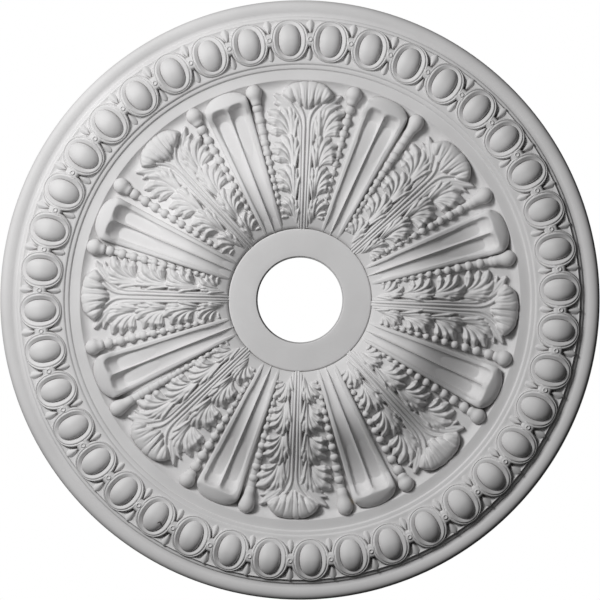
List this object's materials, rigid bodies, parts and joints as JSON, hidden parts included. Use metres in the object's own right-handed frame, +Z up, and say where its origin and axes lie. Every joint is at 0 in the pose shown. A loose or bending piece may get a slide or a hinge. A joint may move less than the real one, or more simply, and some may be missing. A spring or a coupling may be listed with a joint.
{
  "type": "ceiling rose",
  "caption": "Round cast ceiling rose with a centre hole, acanthus leaves, fluted lobes, strings of beads, an egg-and-dart band and a rolled rim.",
  "frame": {"origin": "centre of the hole on the ceiling plane, which is the flat back", "axes": "+Z up into the ceiling, along the hole; the carved face looks down; +X and +Y run along leaf axes"},
  "size_m": [0.7, 0.7, 0.0462],
  "materials": {
    "casting": "matt white primer"
  },
  "bodies": {
    "root": {"ceiling_rose": "casting"}
  },
  "joints": []
}
